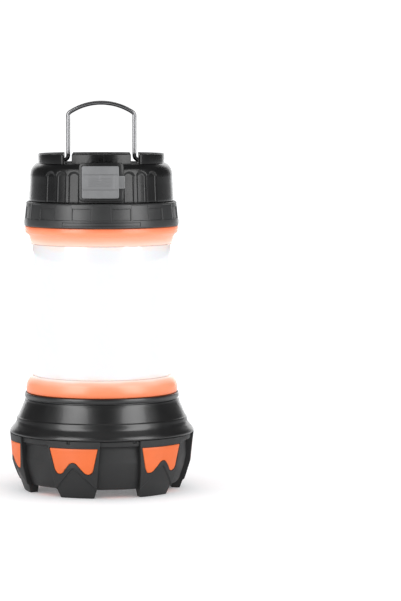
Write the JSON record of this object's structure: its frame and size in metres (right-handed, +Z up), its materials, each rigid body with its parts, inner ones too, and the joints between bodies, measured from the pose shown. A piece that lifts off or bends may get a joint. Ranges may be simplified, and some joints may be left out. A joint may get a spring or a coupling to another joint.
{
  "type": "lantern torch",
  "caption": "Upright lantern with a torch in its rubber-bumpered foot, a glowing tube, a side grip, a screwed-on tail with a covered charging port and a wire bail.",
  "frame": {"origin": "on the floor, under the centre of the bounding box; the lamp's own axis stands 18.65 mm toward -Y of it", "axes": "+Z up along the lamp's axis, +Y toward the handle, +X to the right of someone who faces the port side"},
  "size_m": [0.11, 0.1473, 0.2319],
  "materials": {
    "rubber": "matte moulded rubber",
    "orange": "translucent orange plastic",
    "gloss_black": "polished black plastic",
    "inner_black": "moulded, out of sight",
    "dark_grey": "fine-textured moulding",
    "diffuser_white": "frosted, translucent",
    "lens_clear": "clear, polished",
    "chrome": "vacuum-plated mirror finish",
    "steel": "bright stainless",
    "aluminium": "machined",
    "circuit_board": "solder mask",
    "led": "phosphor under a clear dome",
    "cell": "printed sleeve on a can",
    "brass": "plated contact",
    "grey_rubber": "matte moulded rubber"
  },
  "bodies": {
    "lamp": {"bezel_ring": "chrome", "bumper": "rubber", "contact_plate": "brass", "diffuser": "diffuser_white", "face_insert_1": "orange", "face_insert_2": "orange", "face_insert_3": "orange", "face_insert_4": "orange", "face_insert_5": "orange", "face_insert_6": "orange", "handle_inlay_left": "orange", "handle_inlay_right": "orange", "handle_left": "gloss_black", "handle_right": "gloss_black", "handle_screw_1": "steel", "handle_screw_2": "steel", "handle_screw_3": "steel", "handle_spine": "dark_grey", "head_housing": "gloss_black", "heat_sink": "aluminium", "led_column": "aluminium", "lens": "lens_clear", "lens_gasket": "rubber", "lower_ring": "orange", "lug_insert_1": "orange", "lug_insert_2": "orange", "lug_insert_3": "orange", "lug_insert_4": "orange", "lug_insert_5": "orange", "lug_insert_6": "orange", "reflector": "chrome", "side_led_board_back": "circuit_board", "side_led_board_front": "circuit_board", "thread_base": "inner_black", "torch_led": "led", "torch_led_board": "circuit_board", "upper_ring": "orange"},
    "seal": {"tail_seal": "rubber"},
    "tail": {"collar": "dark_grey", "tail_housing": "gloss_black", "battery_cell_1": "cell", "battery_cell_2": "cell", "battery_holder": "inner_black", "contact_spring_1": "steel", "contact_spring_2": "steel", "usb_board": "circuit_board", "usb_a_socket": "steel", "micro_usb_socket": "steel", "tact_switch": "inner_black", "board_screw_1": "steel", "board_screw_2": "steel"},
    "bail": {"bail": "steel"},
    "port_cover": {"port_cover": "grey_rubber"},
    "power_button": {"power_button": "rubber"}
  },
  "joints": [
    {"name": "tail_turn", "type": "hinge", "parent": "lamp", "child": "seal", "pos_m": [0, -0.01865, 0.1579], "axis": [0, 0, 1], "range_deg": [0, 180]},
    {"name": "tail_rise", "type": "slide", "parent": "seal", "child": "tail", "axis": [0, 0, 1], "range_m": [0, 0.006]},
    {"name": "bail_swing", "type": "hinge", "parent": "tail", "child": "bail", "pos_m": [0, -0.01865, 0.1968], "axis": [0.9799, -0.1994, 0], "range_deg": [-90, 90]},
    {"name": "port_cover_swing", "type": "hinge", "parent": "tail", "child": "port_cover", "pos_m": [0.00507, -0.06266, 0.1842], "axis": [0, 0, 1], "range_deg": [0, 110]},
    {"name": "power_press", "type": "slide", "parent": "tail", "child": "power_button", "axis": [0, 0, -1], "range_m": [0, 0.0012], "stiffness_N_per_m": 400}
  ],
  "couplings": [
    {"joint": "tail_rise", "follows": "tail_turn", "m_per_rad": 0.0019}
  ]
}
